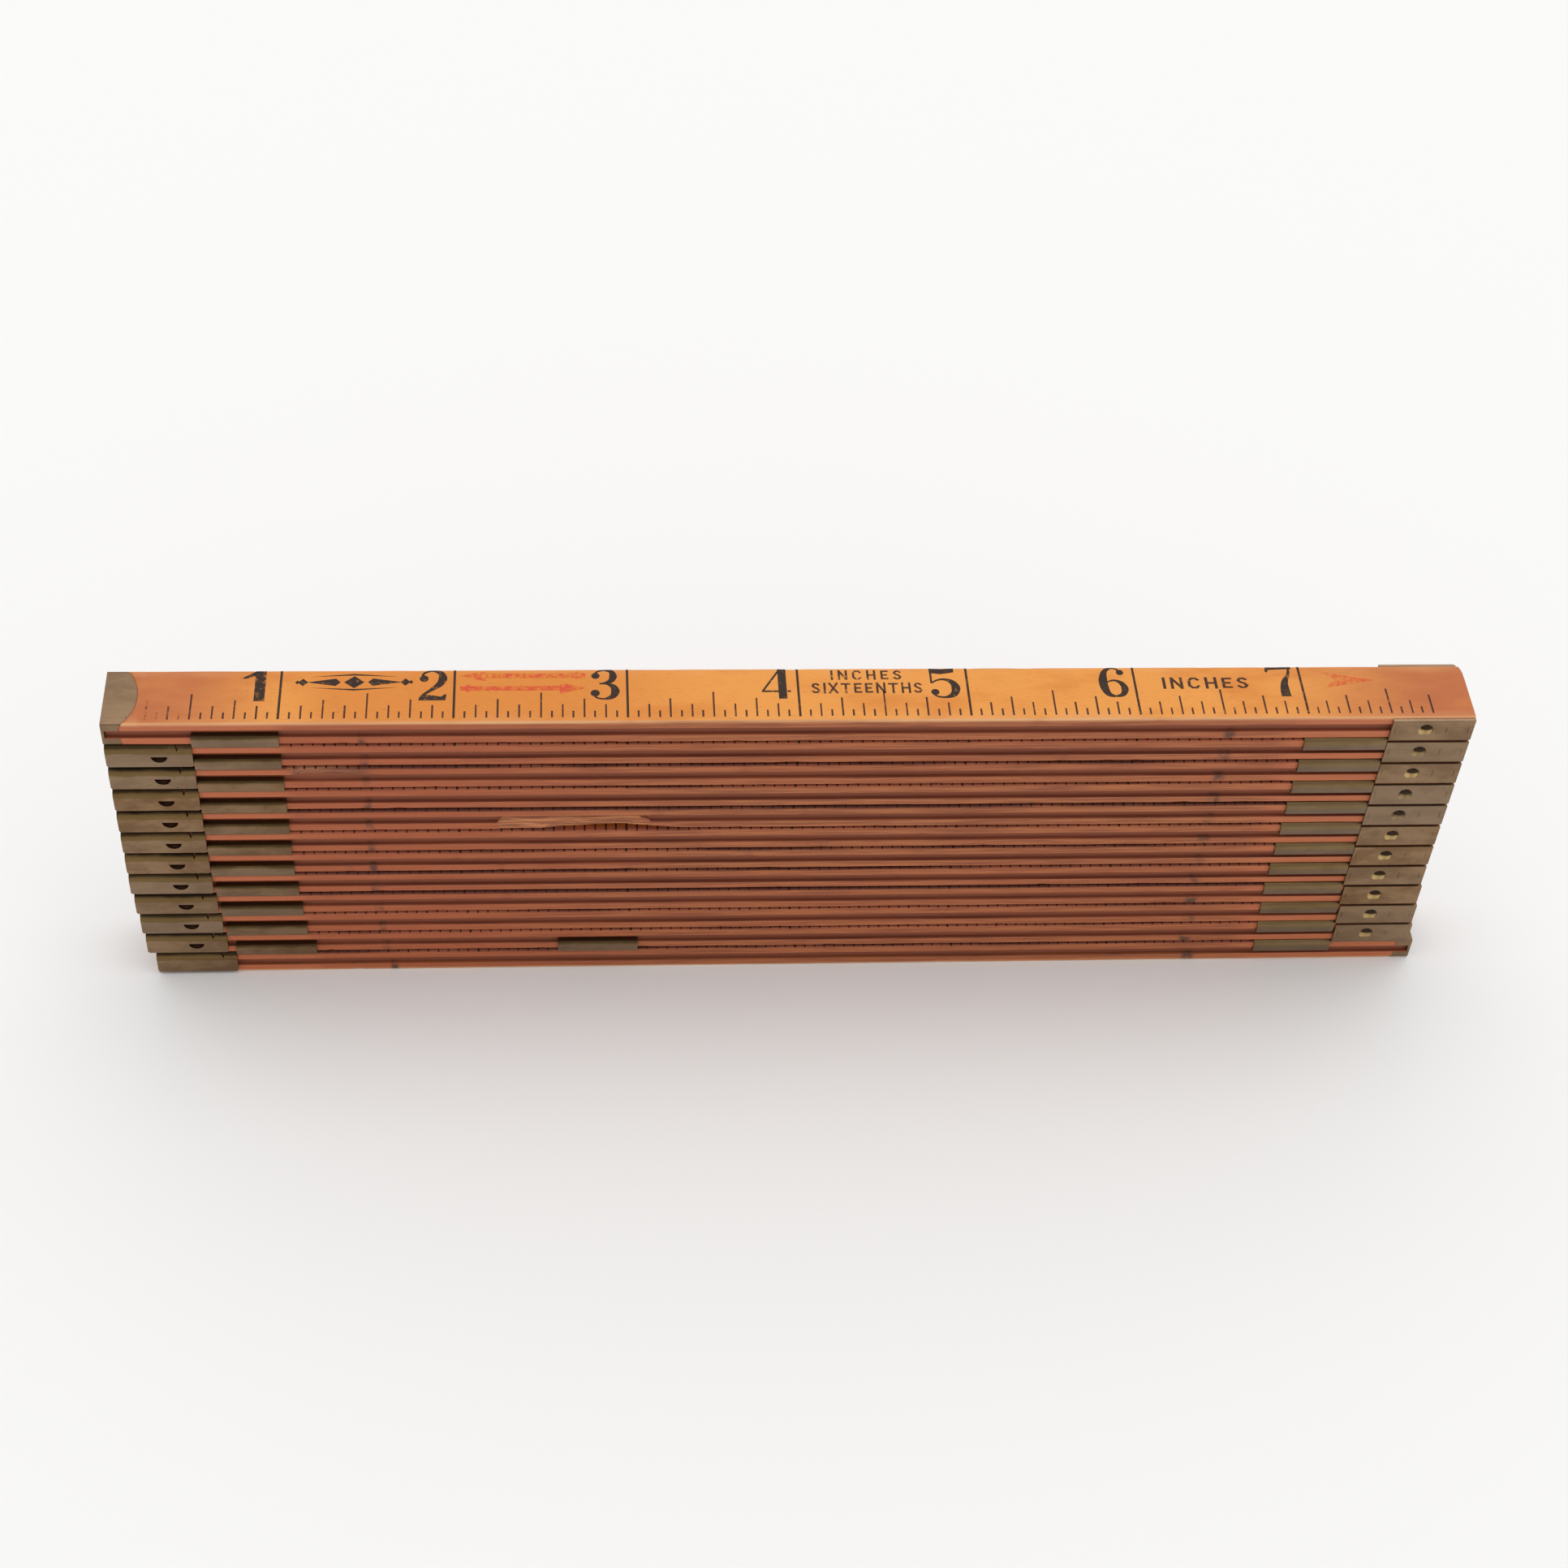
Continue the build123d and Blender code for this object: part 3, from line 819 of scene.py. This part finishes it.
# Each figure is drawn in units of its own height: strokes are (points, widths at those points).
STROKES = {
    "0": [
        (
            [(0.33, 0.98), (0.15, 0.85), (0.1, 0.5), (0.15, 0.15), (0.33, 0.02)],
            [0.04, 0.15, 0.2, 0.15, 0.04],
        ),
        (
            [(0.33, 0.98), (0.51, 0.85), (0.56, 0.5), (0.51, 0.15), (0.33, 0.02)],
            [0.04, 0.15, 0.2, 0.15, 0.04],
        ),
    ],
    "2": [
        (
            [(0.1, 0.74), (0.14, 0.9), (0.34, 0.975), (0.53, 0.9), (0.585, 0.72), (0.5, 0.52)]
            + [(0.3, 0.33), (0.12, 0.17), (0.06, 0.06)],
            [0.06, 0.06, 0.05, 0.14, 0.21, 0.17, 0.09, 0.06, 0.05],
        ),
    ],
    "3": [
        (
            [(0.12, 0.8), (0.16, 0.92), (0.33, 0.975), (0.5, 0.93), (0.55, 0.77), (0.49, 0.62)]
            + [(0.34, 0.545), (0.22, 0.53)],
            [0.05, 0.05, 0.045, 0.12, 0.19, 0.14, 0.06, 0.04],
        ),
        (
            [(0.24, 0.53), (0.4, 0.52), (0.55, 0.43), (0.6, 0.27), (0.53, 0.1), (0.34, 0.025), (0.15, 0.07)]
            + [(0.09, 0.2)],
            [0.04, 0.06, 0.15, 0.21, 0.15, 0.05, 0.05, 0.05],
        ),
    ],
    "4": [([(0.03, 0.27), (0.45, 0.98)], [0.05, 0.05])],
    "5": [
        ([(0.05, 0.95), (0.05, 0.5)], [0.05, 0.05]),
        (
            [(0.05, 0.5), (0.2, 0.6), (0.38, 0.62), (0.56, 0.52), (0.63, 0.33), (0.56, 0.12), (0.36, 0.025)]
            + [(0.16, 0.06), (0.06, 0.18)],
            [0.04, 0.05, 0.07, 0.15, 0.22, 0.17, 0.06, 0.05, 0.06],
        ),
    ],
    "6": [
        (
            [(0.56, 0.84), (0.46, 0.95), (0.33, 0.975), (0.18, 0.87), (0.11, 0.6), (0.12, 0.32), (0.2, 0.1)]
            + [(0.36, 0.025)],
            [0.06, 0.05, 0.05, 0.13, 0.21, 0.21, 0.15, 0.05],
        ),
        (
            [(0.36, 0.025), (0.54, 0.09), (0.61, 0.28), (0.55, 0.46), (0.4, 0.56), (0.24, 0.53)]
            + [(0.15, 0.44)],
            [0.05, 0.13, 0.18, 0.13, 0.06, 0.045, 0.04],
        ),
    ],
    "7": [
        ([(0.6, 0.95), (0.55, 0.72), (0.44, 0.5), (0.4, 0.25), (0.4, 0.0)], [0.05, 0.08, 0.16, 0.22, 0.24]),
    ],
    "8": [
        (
            [(0.52, 0.88), (0.33, 0.975), (0.15, 0.87), (0.16, 0.7), (0.34, 0.55), (0.53, 0.4), (0.58, 0.23)]
            + [(0.5, 0.08), (0.33, 0.025)],
            [0.05, 0.05, 0.12, 0.17, 0.2, 0.2, 0.15, 0.08, 0.05],
        ),
        (
            [(0.33, 0.975), (0.5, 0.9), (0.53, 0.75), (0.42, 0.61), (0.2, 0.46), (0.08, 0.28), (0.15, 0.09)]
            + [(0.33, 0.025)],
            [0.05, 0.08, 0.09, 0.05, 0.05, 0.1, 0.09, 0.05],
        ),
    ],
}
DOTS = {
    "2": [(0.14, 0.72, 0.105)],
    "3": [(0.13, 0.79, 0.1), (0.12, 0.215, 0.11)],
    "5": [(0.12, 0.2, 0.1)],
    "6": [(0.55, 0.83, 0.09)],
}
SHAPES = {
    "1": [
        [(0.33, 0.0), (0.58, 0.0), (0.58, 1.0), (0.33, 1.0)],
        [(0.02, 0.76), (0.1, 0.74), (0.36, 0.84), (0.4, 1.0), (0.33, 0.98)],
    ],
    "2": [
        [(0.02, 0.0), (0.66, 0.0), (0.68, 0.2), (0.64, 0.2), (0.55, 0.12), (0.33, 0.17), (0.15, 0.19)]
        + [(0.04, 0.1)]
    ],
    "4": [
        [(0.4, 0.0), (0.6, 0.0), (0.6, 1.0), (0.4, 1.0)],
        [(0.0, 0.222), (0.7, 0.222), (0.7, 0.278), (0.0, 0.278)],
    ],
    "5": [[(0.02, 0.84), (0.3, 0.8), (0.62, 0.86), (0.62, 1.0), (0.3, 0.97), (0.02, 1.0)]],
    "7": [[(0.0, 0.86), (0.04, 0.8), (0.1, 0.9), (0.66, 0.93), (0.66, 1.0), (0.03, 1.0)]],
}

# Plain block capitals for the unit legends, on a centre line in units of their height
CAPITAL_WIDTH = 0.16
CAPITALS = {
    "C": [
        [(0.56, 0.8), (0.42, 0.95), (0.22, 0.95), (0.06, 0.75), (0.06, 0.25), (0.22, 0.05), (0.42, 0.05)]
        + [(0.56, 0.2)]
    ],
    "E": [[(0.5, 0.08), (0.08, 0.08), (0.08, 0.92), (0.5, 0.92)], [(0.08, 0.5), (0.42, 0.5)]],
    "H": [[(0.08, 0.0), (0.08, 1.0)], [(0.58, 0.0), (0.58, 1.0)], [(0.08, 0.5), (0.58, 0.5)]],
    "I": [[(0.08, 0.0), (0.08, 1.0)]],
    "N": [[(0.08, 0.0), (0.08, 1.0), (0.6, 0.0), (0.6, 1.0)]],
    "S": [
        [(0.5, 0.82), (0.36, 0.94), (0.18, 0.92), (0.08, 0.74), (0.2, 0.57), (0.4, 0.45), (0.52, 0.26)]
        + [(0.4, 0.07), (0.2, 0.06), (0.06, 0.2)]
    ],
    "T": [[(0.0, 0.92), (0.6, 0.92)], [(0.3, 0.0), (0.3, 0.92)]],
    "X": [[(0.04, 0.0), (0.58, 1.0)], [(0.04, 1.0), (0.58, 0.0)]],
}


def along_curve(points, widths):
    """Samples of a smooth curve through the points, as (point, direction, width)."""
    ends = [points[0], *points, points[-1]]
    samples = []
    for i in range(len(points) - 1):
        p0, p1, p2, p3 = (Vector(point) for point in ends[i : i + 4])
        last = i == len(points) - 2
        for step in range(CURVE_STEPS + last):
            t = step / CURVE_STEPS
            place = 0.5 * (2 * p1 + (p2 - p0) * t + (2 * p0 - 5 * p1 + 4 * p2 - p3) * t**2)
            place += 0.5 * (3 * p1 - p0 - 3 * p2 + p3) * t**3
            ahead = 0.5 * ((p2 - p0) + 2 * (2 * p0 - 5 * p1 + 4 * p2 - p3) * t)
            ahead += 1.5 * (3 * p1 - p0 - 3 * p2 + p3) * t**2
            direction = ahead.normalized() if ahead.length > 1e-9 else (p2 - p1).normalized()
            samples.append((place, direction, widths[i] + (widths[i + 1] - widths[i]) * t))
    return samples


def stroke_faces(points, widths):
    """A stroke of changing width as a run of four-sided faces."""
    rails = []
    for place, direction, width in along_curve(points, widths):
        out = Vector((-direction.y, direction.x)) * width / 2
        rails.append((place - out, place + out))
    return [[a[0], b[0], b[1], a[1]] for a, b in zip(rails, rails[1:])]


def line_faces(points, width):
    """A plain line of even width, with its corners filled."""
    faces = []
    for a, b in zip(points, points[1:]):
        a, b = Vector(a), Vector(b)
        along = (b - a).normalized() * width * 0.35
        out = Vector((-along.y, along.x)) / 0.7
        faces.append([a - along - out, b + along - out, b + along + out, a - along + out])
    return faces


def disc(x, y, radius):
    return [Vector((x + py, y + pz)) for py, pz in arc(0, 0, radius, 0, 345, 23)]


def joined(faces, cuts=()):
    """Overlapping faces made into one flat set of triangles, also cut along level lines."""
    points = [Vector(point) for face in faces for point in face]
    indexes, start = [], 0
    for face in faces:
        indexes.append(list(range(start, start + len(face))))
        start += len(face)
    levels = [(len(points) + 2 * i, len(points) + 2 * i + 1) for i in range(len(cuts))]
    points += [Vector((x, height)) for height in cuts for x in (-1.0, 2.0)]
    corners, _, triangles, _, _, sources = delaunay_2d_cdt(points, levels, indexes, 1, 1e-5)
    kept = [triangle for triangle, source in zip(triangles, sources) if source]
    order = {old: new for new, old in enumerate(sorted({i for triangle in kept for i in triangle}))}
    return [corners[old] for old in order], [[order[i] for i in triangle] for triangle in kept]


def turned(faces):
    """The figure turned upside down in its own box, which makes a nine of a six."""
    return [[Vector((0.7 - point[0], 1.0 - point[1])) for point in face] for face in faces]


def figure(character):
    """The faces of one figure of the scale, in units of its height."""
    if character == "9":
        return turned(figure("6"))
    faces = [face for stroke in STROKES.get(character, []) for face in stroke_faces(*stroke)]
    faces += [disc(*dot) for dot in DOTS.get(character, [])]
    return faces + SHAPES.get(character, [])


# A figure's top reaches the slat's rounded back corner, so it is cut there and can bend.
FIGURE_CUTS = [(y - DIGIT_FOOT) / DIGIT_HEIGHT for y in (10.3, 10.42, 10.54, 10.66)]
FIGURES = {character: joined(figure(character), FIGURE_CUTS) for character in "0123456789"}


def capital(character):
    return joined([face for line in CAPITALS[character] for face in line_faces(line, CAPITAL_WIDTH)])


LETTERS = {character: capital(character) for character in CAPITALS}


def flat_size(flat):
    return max(point.x for point in flat[0])


def placed(flat, x, y, height, stretch=1.0):
    """A flat shape scaled and moved to its place on the scale, y from the front edge."""
    points, faces = flat
    return [Vector((x + point.x * height * stretch, y + point.y * height)) for point in points], faces


def words(text, x, y, height, space, stretch=1.0):
    """A word in block capitals, as a list of placed shapes."""
    shapes = []
    for character in text:
        shapes.append(placed(LETTERS[character], x, y, height, stretch))
        x += flat_size(LETTERS[character]) * height * stretch + space
    return shapes


def tick(x, width, low, high):
    """A line across the scale with points where the slat's corner may curve under it."""
    bends = [y for y in (0.1, 0.2, 0.3, 0.42, 0.56) if low < y < high]
    bends += [2 * HALF - y for y in (0.56, 0.42, 0.3, 0.2, 0.1) if low < 2 * HALF - y < high]
    steps = [low, *bends, high]
    points = [Vector((x + side * width / 2, y)) for y in steps for side in (-1, 1)]
    faces = [(2 * i, 2 * i + 1, 2 * i + 3, 2 * i + 2) for i in range(len(steps) - 1)]
    return points, faces


def scale_height(number, upward, x, y):
    """Height of a slat's wide face at x, and at y from its front edge, over its rounded corners."""
    side = -1 if y < HALF else 1
    inward = min(y, 2 * HALF - y)
    radius = corner_radius(number, side, "top" if upward else "bottom", x)
    if inward >= radius:
        return 0.0
    return math.sqrt(max(radius**2 - (radius - inward) ** 2, 0.0)) - radius


class Print:
    """Ink on one wide face of a slat. A place on it is u along the scale and v from the front."""

    def __init__(self, number, upward):
        self.number, self.upward = number, upward
        self.points, self.faces = [], []
        self.marks = {"fade": [], "red": [], "thin": []}

    def to_slat(self, u, v, lift):
        """A printed point in the slat's frame; the underside's scale reads from the right end."""
        x = u if self.upward else LENGTH - u
        drop = scale_height(self.number, self.upward, x, v)
        z = TOP + drop + lift if self.upward else -drop - lift
        return x, v - HALF, z

    def add(self, flat, fade=0.0, red=0.0, thin=0.0):
        """Adds a flat shape as a closed film of ink."""
        points, faces = flat
        start, count = len(self.points), len(points)
        for lift in (INK_LIFT, -INK_SINK):
            for point in points:
                self.points.append(to_rule(self.number, self.to_slat(point.x, point.y, lift)))
        used = {}
        for face in faces:
            self.faces.append(tuple(start + i for i in face))
            self.faces.append(tuple(start + count + i for i in reversed(face)))
            for i, j in zip(face, face[1:] + face[:1]):
                used[(i, j)] = True
        for i, j in used:
            if (j, i) not in used:
                self.faces.append((start + j, start + i, start + count + i, start + count + j))
        for name, value in (("fade", fade), ("red", red), ("thin", thin)):
            self.marks[name] += [value] * (2 * count)

    def make(self, ink):
        side = "top" if self.upward else "under"
        name = f"scale_{side}_{self.number:02d}"
        shape = bmesh.new()
        mesh = bpy.data.meshes.new(name)
        mesh.from_pydata(self.points, [], self.faces)
        shape.from_mesh(mesh)
        bmesh.ops.recalc_face_normals(shape, faces=shape.faces)
        shape.to_mesh(mesh)
        shape.free()
        places = paint_places(mesh, self.number, seed=float(self.number))
        paint_grime(mesh, self.number, np.full(len(places), self.upward), np.abs(places[:, 1]))
        for mark, values in self.marks.items():
            paint(mesh, mark, values)
        mesh.materials.append(ink)
        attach(new_object(name, mesh), body(self.number))


def add_ticks(sheet, first, near_edge, picker):
    """The sixteenths from the first that shows, with the inch lines across the whole face."""
    for count in range(first, LAST_TICK + 1):
        u = count * SIXTEENTH + picker.uniform(-0.03, 0.03)
        whole = count % 16 == 0
        fade = 0.03 + 0.1 * picker.random()
        if sheet.number == 1 and sheet.upward and u < 12:
            fade = 0.34 - 0.015 * u + 0.12 * picker.random()
        if whole:
            sheet.add(tick(u, INCH_LINE_WIDTH, near_edge, 2 * HALF - 0.12), fade, thin=0.25)
            continue
        step = next(step for step in (8, 4, 2, 1) if count % step == 0)
        width = TICK_WIDTH * picker.uniform(0.9, 1.1)
        sheet.add(tick(u, width, near_edge + picker.uniform(0, 0.12), TICK_TOPS[step]), fade, thin=0.7)


def add_number(sheet, value, inch, picker):
    """A number that ends just before its inch line."""
    right = inch * INCH - (2.2 if value == 1 else 1.1)
    for character in reversed(str(value)):
        flat = FIGURES[character]
        left = right - flat_size(flat) * DIGIT_HEIGHT
        sheet.add(placed(flat, left, DIGIT_FOOT, DIGIT_HEIGHT), fade=0.05 + 0.08 * picker.random())
        right = left - DIGIT_GAP


def polygon(*points):
    return [Vector(point) for point in points]


def lozenge(x, y, half_x, half_y):
    return polygon((x - half_x, y), (x, y - half_y), (x + half_x, y), (x, y + half_y))


def ornament(u, v, half_length):
    """A plain divider: a ringed lozenge between tapering rules and smaller lozenges."""
    faces = [lozenge(u, v, 1.5, 1.25)]
    for side in (-1, 1):
        for offset in (-1.55, 1.55):
            point = (u + side * half_length * 0.72, v + offset * 0.72)
            faces.append(polygon((u, v + offset - 0.16), point, (u, v + offset + 0.16)))
        near, far = u + side * 2.0, u + side * half_length * 0.8
        for half in (-0.75, 0.75):
            faces.append(polygon((near, v), (near + side * 0.7, v + half), (far, v)))
        faces.append(lozenge(u + side * half_length * 0.86, v, 0.75, 0.75))
        faces.append(lozenge(u + side * (half_length - 0.4), v, 0.35, 0.4))
    return joined(faces)


def arrow(tail, tip, v, thickness):
    """A straight arrow along the scale from its tail to its tip."""
    way = 1 if tip > tail else -1
    neck = tip - way * 3.2
    low, high = v - thickness / 2, v + thickness / 2
    shaft = polygon((tail, low), (neck, low), (neck, high), (tail, high))
    barb, spread = neck - way * 0.5, thickness * 1.25
    head = polygon((barb, v - spread), (tip, v), (barb, v + spread))
    return joined([shaft, head, lozenge(tail + way * 1.2, v, 1.0, thickness * 0.9)])


def print_top_slat(sheet, picker):
    """The top face of the first slat, the only one with legends between its numbers."""
    add_ticks(sheet, FIRST_TICK, 0.95, picker)
    for inch in range(1, 8):
        add_number(sheet, inch, inch, picker)
    sheet.add(ornament(36.1, 8.4, 8.7), fade=0.1)
    sheet.add(arrow(70.0, 51.6, 9.6, 0.9), fade=0.24, red=1.0)
    sheet.add(arrow(51.6, 70.0, 7.0, 0.9), fade=0.2, red=1.0)
    legend = words("INCHES", 106.6, 8.55, 1.8, 0.75, 1.15)
    legend += words("SIXTEENTHS", 103.6, 5.75, 2.0, 0.48, 1.05)
    for shape in legend:
        sheet.add(shape, fade=0.12, thin=0.4)
    for shape in words("INCHES", 156.6, 6.4, 2.15, 0.75, 1.3):
        sheet.add(shape, fade=0.1, thin=0.3)
    wedge = polygon((181.2, 6.3), (189.0, 7.9), (181.6, 9.6), (183.2, 8.0))
    sheet.add(joined([wedge]), fade=0.26, red=1.0)


def top_number(number, inch):
    """What a slat's top face reads at one of its own inches, with the rule fully out."""
    return inch + (64 if number == COUNT else 6 * (number - 1))


def under_number(number, inch):
    """The same for the underside, read from the bottom slat's tip."""
    return inch + (0 if number == COUNT else 4 + 6 * (COUNT - 1 - number))


def make_prints(ink):
    """Both wide faces of every slat. What a fitting's plate covers is left out."""
    picker = random.Random(77)
    for number in range(1, COUNT + 1):
        last_slat = number == COUNT
        sheet = Print(number, upward=True)
        if number == 1:
            print_top_slat(sheet, picker)
        else:
            add_ticks(sheet, FIRST_CLEAR_TICK, 0.12, picker)
            for inch in range(5 if last_slat else 3, 8):
                add_number(sheet, top_number(number, inch), inch, picker)
        sheet.make(ink)
        sheet = Print(number, upward=False)
        add_ticks(sheet, FIRST_TICK if last_slat else FIRST_CLEAR_TICK, 0.95, picker)
        for inch in range(1 if last_slat else 2, 8):
            add_number(sheet, under_number(number, inch), inch, picker)
        sheet.make(ink)


# ---- Camera, floor and light ----

CAMERA_PLACE = Vector((-34.02, -284.39, 348.84)) * MM
# Turns in radians: away from +y, below the horizon, and about the line of sight
CAMERA_YAW = 0.11147
CAMERA_DOWN = 0.82763
CAMERA_ROLL = 0.075083
LENS = 63.197
SENSOR = 36.0


def make_camera():
    data = bpy.data.cameras.new("camera")
    data.lens = LENS
    data.sensor_width = SENSOR
    data.clip_start = 0.01
    camera = bpy.data.objects.new("camera", data)
    tilt = Matrix.Rotation(math.pi / 2 - CAMERA_DOWN, 4, "X")
    turn = Matrix.Rotation(-CAMERA_YAW, 4, "Z") @ tilt @ Matrix.Rotation(CAMERA_ROLL, 4, "Z")
    camera.matrix_world = Matrix.Translation(CAMERA_PLACE) @ turn
    bpy.context.scene.collection.objects.link(camera)
    bpy.context.scene.camera = camera


FLOOR_HALF = 8.0
FLOOR_COLOUR = srgb(243, 243, 243)


def make_floor():
    mesh = bpy.data.meshes.new("floor")
    signs = ((-1, -1), (1, -1), (1, 1), (-1, 1))
    mesh.from_pydata([(x * FLOOR_HALF, y * FLOOR_HALF, 0) for x, y in signs], [], [(0, 1, 2, 3)])
    material, nodes = new_material("floor_paper")
    finish_material(nodes, FLOOR_COLOUR, 0.8, (0, 0, 0), specular=0.2)
    mesh.materials.append(material)
    new_object("floor", mesh)


SKY_BRIGHT = 1.0
SKY_DARK = 0.36
SUN_STRENGTH = 0.85
SUN_SPREAD = 60


def make_light():
    """A pale room, dimmer towards the front, under one broad soft light from above and behind."""
    world = bpy.data.worlds.new("room")
    world.use_nodes = True
    world.node_tree.nodes.clear()
    nodes = Nodes(world.node_tree)
    direction = nodes.add("TexCoord", {}, output="Generated")
    aim = {0: direction, 1: CAMERA_PLACE.normalized()}
    towards_camera = nodes.add("VectorMath", aim, output=1, operation="DOT_PRODUCT")
    strength = nodes.rise(towards_camera, 0.6, 0.95, SKY_BRIGHT, SKY_DARK)
    background = nodes.add("Background", {"Color": (1.0, 1.0, 0.995, 1.0), "Strength": strength})
    nodes.add("OutputWorld", {"Surface": background})
    bpy.context.scene.world = world
    data = bpy.data.lights.new("softbox", "SUN")
    data.energy = SUN_STRENGTH
    data.angle = math.radians(SUN_SPREAD)
    data.color = (1.0, 0.995, 0.98)
    light = bpy.data.objects.new("softbox", data)
    light.rotation_mode = "QUATERNION"
    light.rotation_quaternion = Vector((0.03, -0.02, -1.0)).to_track_quat("-Z", "Y")
    bpy.context.scene.collection.objects.link(light)


def main():
    wood, ink = wood_material(), ink_material()
    brass = [brass_material("tarnished_brass", 0.0), brass_material("rubbed_brass", 0.45)]
    picker = random.Random(12)
    for number in range(1, COUNT + 1):
        make_slat(number, wood, picker)
    for number in range(1, COUNT + 1):
        if number > 1:
            make_brass(f"left_fitting_{number:02d}", number, picker, brass)
        if number < COUNT:
            make_brass(f"right_fitting_{number:02d}", number, picker, brass)
    make_brass("left_tip", 1, picker, brass)
    make_brass("right_tip", COUNT, picker, brass)
    make_brass("travel_stop", COUNT, picker, brass)
    make_brass("stop_pins", COUNT, picker, brass)
    make_prints(ink)
    make_camera()
    make_floor()
    make_light()
    bpy.context.scene.view_settings.view_transform = "Standard"


main()
